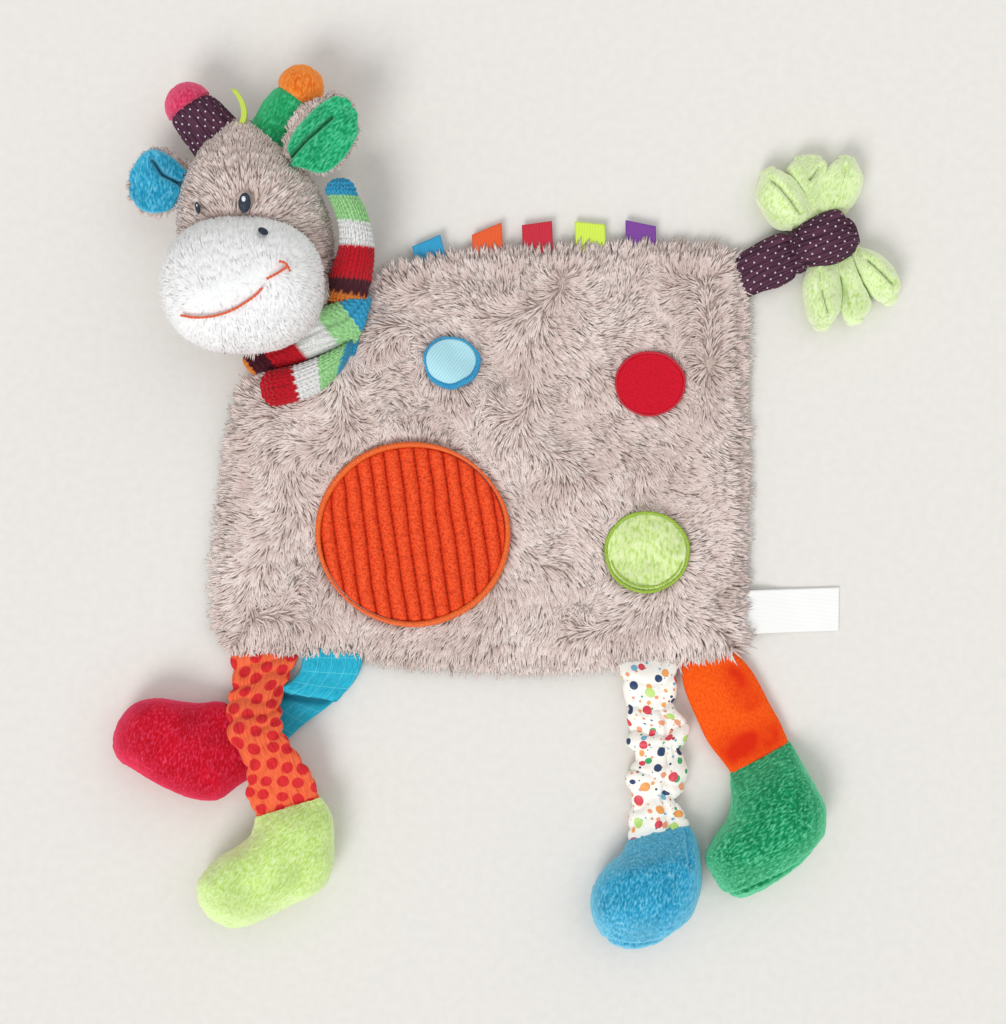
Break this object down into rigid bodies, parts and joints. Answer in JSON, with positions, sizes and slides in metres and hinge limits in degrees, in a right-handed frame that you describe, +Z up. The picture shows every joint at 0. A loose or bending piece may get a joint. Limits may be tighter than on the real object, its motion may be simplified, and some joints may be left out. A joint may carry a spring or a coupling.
{
  "type": "comfort blanket lovey",
  "caption": "Flat plush giraffe comforter with a stuffed head, striped knitted scarf, applique spots, ribbon tabs, a looped tail and limp legs of unlike cloth with stuffed feet.",
  "frame": {"origin": "centre of the bounding box at the level of the table it lies on", "axes": "+X towards the tail, +Y towards the horns, +Z up out of the toy's front"},
  "size_m": [0.3528, 0.389, 0.0589],
  "materials": {
    "taupe_plush": "long pile plush",
    "white_plush": "long pile plush",
    "orange_corduroy": "wide wale corduroy",
    "orange_thread": "satin stitch",
    "pale_blue_cloth": "printed velour",
    "blue_thread": "satin stitch",
    "red_velour": "velour",
    "lime_cloth": "printed velour",
    "green_thread": "satin stitch",
    "blue_ribbon": "satin ribbon",
    "orange_ribbon": "satin ribbon",
    "red_ribbon": "satin ribbon",
    "yellow_ribbon": "satin ribbon",
    "purple_ribbon": "satin ribbon",
    "label_tape": "satin label tape",
    "dotted_cloth": "printed cotton",
    "lime_velour": "velour",
    "turquoise_cloth": "velour",
    "scarlet_velour": "velour",
    "white_satin": "printed satin",
    "elastic_tape": "woven elastic",
    "blue_velour": "velour",
    "orange_cloth": "velour",
    "green_velour": "velour",
    "fibre_filling": "loose fibre filling",
    "navy_thread": "satin stitch",
    "coral_thread": "satin stitch",
    "plum_cloth": "velour",
    "pink_velour": "velour",
    "tangerine_velour": "velour",
    "striped_knit": "knitted rib",
    "plum_dotted_cloth": "printed velour"
  },
  "bodies": {
    "blanket": {"body_front_panel": "taupe_plush", "body_back_panel": "taupe_plush", "orange_spot": "orange_corduroy", "orange_spot_edging": "orange_thread", "blue_spot": "pale_blue_cloth", "blue_spot_edging": "blue_thread", "red_spot": "red_velour", "red_spot_edging": "red_velour", "lime_spot": "lime_cloth", "lime_spot_edging": "green_thread", "scarf_neck_wrap": "striped_knit"},
    "head": {"head_cover": "taupe_plush", "head_filling": "fibre_filling", "muzzle_cover": "white_plush", "muzzle_filling": "fibre_filling", "eye_left": "navy_thread", "eye_right": "navy_thread", "nostril_left": "navy_thread", "nostril_right": "navy_thread", "mouth_stitching": "coral_thread", "left_horn_stem": "plum_cloth", "left_horn_tip": "pink_velour", "left_horn_filling": "fibre_filling", "right_horn_stem": "green_velour", "right_horn_tip": "tangerine_velour", "right_horn_filling": "fibre_filling"},
    "left_ear": {"left_ear_back": "taupe_plush", "left_ear_lining": "blue_velour"},
    "right_ear": {"right_ear_back": "taupe_plush", "right_ear_lining": "green_velour"},
    "forelock": {"forelock_ribbon": "yellow_ribbon"},
    "scarf_upper": {"scarf_upper_end": "striped_knit"},
    "scarf_lower": {"scarf_lower_end": "striped_knit"},
    "dotted_leg": {"dotted_leg_sleeve": "dotted_cloth"},
    "lime_foot": {"lime_foot_cover": "lime_velour", "lime_foot_filling": "fibre_filling"},
    "turquoise_leg": {"turquoise_leg_sleeve": "turquoise_cloth"},
    "red_foot": {"red_foot_cover": "scarlet_velour", "red_foot_filling": "fibre_filling"},
    "satin_leg": {"satin_leg_sleeve": "white_satin", "satin_leg_elastic": "elastic_tape"},
    "blue_foot": {"blue_foot_cover": "blue_velour", "blue_foot_filling": "fibre_filling"},
    "orange_leg": {"orange_leg_sleeve": "orange_cloth"},
    "green_foot": {"green_foot_cover": "green_velour", "green_foot_filling": "fibre_filling"},
    "tail": {"tail_strap": "plum_dotted_cloth", "tail_wrap_band": "plum_dotted_cloth", "tail_loop_upper_left": "lime_velour", "tail_loop_upper_middle": "lime_velour", "tail_loop_upper_right": "lime_velour", "tail_loop_lower_left": "lime_velour", "tail_loop_lower_middle": "lime_velour", "tail_loop_lower_right": "lime_velour"},
    "blue_tab": {"blue_ribbon_tab": "blue_ribbon"},
    "orange_tab": {"orange_ribbon_tab": "orange_ribbon"},
    "red_tab": {"red_ribbon_tab": "red_ribbon"},
    "yellow_tab": {"yellow_ribbon_tab": "yellow_ribbon"},
    "purple_tab": {"purple_ribbon_tab": "purple_ribbon"},
    "label": {"care_label": "label_tape"}
  },
  "joints": [
    {"name": "head_nod", "type": "hinge", "parent": "blanket", "child": "head", "pos_m": [-0.09629, 0.08847, 0.00885], "axis": [0.7946, 0.6071, 0], "range_deg": [-60, 0]},
    {"name": "left_ear_flap", "type": "hinge", "parent": "head", "child": "left_ear", "pos_m": [-0.14438, 0.14545, 0.022], "axis": [0.2798, 0.9601, 0], "range_deg": [-40, 60], "stiffness_Nm_per_rad": 0.01},
    {"name": "right_ear_flap", "type": "hinge", "parent": "head", "child": "right_ear", "pos_m": [-0.0946, 0.15375, 0.035], "axis": [0.6968, -0.7173, 0], "range_deg": [0, 70], "stiffness_Nm_per_rad": 0.01},
    {"name": "forelock_lift", "type": "hinge", "parent": "head", "child": "forelock", "pos_m": [-0.11745, 0.16845, 0.0325], "axis": [0.995, -0.1, 0], "range_deg": [0, 80], "stiffness_Nm_per_rad": 0.001},
    {"name": "scarf_upper_lift", "type": "hinge", "parent": "blanket", "child": "scarf_upper", "pos_m": [-0.06932, 0.0957, 0.0235], "axis": [0.9883, -0.1525, 0], "range_deg": [0, 90]},
    {"name": "scarf_lower_lift", "type": "hinge", "parent": "blanket", "child": "scarf_lower", "pos_m": [-0.06952, 0.06802, 0.01818], "axis": [0.4532, 0.8914, 0], "range_deg": [0, 90]},
    {"name": "dotted_hip", "type": "hinge", "parent": "blanket", "child": "dotted_leg", "pos_m": [-0.10945, -0.06371, 0.00355], "axis": [-1, 0.005, 0], "range_deg": [0, 90]},
    {"name": "dotted_ankle", "type": "hinge", "parent": "dotted_leg", "child": "lime_foot", "pos_m": [-0.09895, -0.12882, 0.01292], "axis": [-0.96, -0.28, 0], "range_deg": [-40, 40]},
    {"name": "turquoise_hip", "type": "hinge", "parent": "blanket", "child": "turquoise_leg", "pos_m": [-0.07964, -0.06337, 0.00355], "axis": [-1, -0.0067, 0], "range_deg": [-90, 0]},
    {"name": "turquoise_ankle", "type": "hinge", "parent": "turquoise_leg", "child": "red_foot", "pos_m": [-0.11434, -0.10097, 0.00357], "axis": [-0.7493, 0.6622, 0], "range_deg": [-40, 10]},
    {"name": "satin_hip", "type": "hinge", "parent": "blanket", "child": "satin_leg", "pos_m": [0.06198, -0.06591, 0.00355], "axis": [-1, 0, 0], "range_deg": [0, 60]},
    {"name": "satin_ankle", "type": "hinge", "parent": "satin_leg", "child": "blue_foot", "pos_m": [0.06623, -0.14039, 0.00498], "axis": [-0.9747, -0.2236, 0], "range_deg": [-40, 40]},
    {"name": "orange_hip", "type": "hinge", "parent": "blanket", "child": "orange_leg", "pos_m": [0.08851, -0.0643, 0.00355], "axis": [-0.9928, -0.12, 0], "range_deg": [-90, 0]},
    {"name": "orange_ankle", "type": "hinge", "parent": "orange_leg", "child": "green_foot", "pos_m": [0.11113, -0.10846, 0.00426], "axis": [-0.884, -0.4674, 0], "range_deg": [-40, 40]},
    {"name": "tail_swing", "type": "hinge", "parent": "blanket", "child": "tail", "pos_m": [0.10476, 0.1, 0.00355], "axis": [0.0295, -0.9996, 0], "range_deg": [-75, 75]},
    {"name": "blue_tab_bend", "type": "hinge", "parent": "blanket", "child": "blue_tab", "pos_m": [-0.03549, 0.11377, 0.00426], "axis": [0.9724, 0.2333, 0], "range_deg": [-80, 80], "stiffness_Nm_per_rad": 0.001},
    {"name": "orange_tab_bend", "type": "hinge", "parent": "blanket", "child": "orange_tab", "pos_m": [-0.0097, 0.11641, 0.00355], "axis": [0.9986, 0.053, 0], "range_deg": [-80, 80], "stiffness_Nm_per_rad": 0.001},
    {"name": "red_tab_bend", "type": "hinge", "parent": "blanket", "child": "red_tab", "pos_m": [0.0127, 0.11747, 0.00355], "axis": [0.9992, 0.0398, 0], "range_deg": [-80, 80], "stiffness_Nm_per_rad": 0.001},
    {"name": "yellow_tab_bend", "type": "hinge", "parent": "blanket", "child": "yellow_tab", "pos_m": [0.03641, 0.11845, 0.00355], "axis": [0.999, 0.0458, 0], "range_deg": [-80, 80], "stiffness_Nm_per_rad": 0.001},
    {"name": "purple_tab_bend", "type": "hinge", "parent": "blanket", "child": "purple_tab", "pos_m": [0.05883, 0.11951, 0.00355], "axis": [0.9999, 0.0106, 0], "range_deg": [-80, 80], "stiffness_Nm_per_rad": 0.001},
    {"name": "label_lift", "type": "hinge", "parent": "blanket", "child": "label", "pos_m": [0.10415, -0.0451, 0.00355], "axis": [-0.0568, -0.9984, 0], "range_deg": [0, 80]}
  ]
}
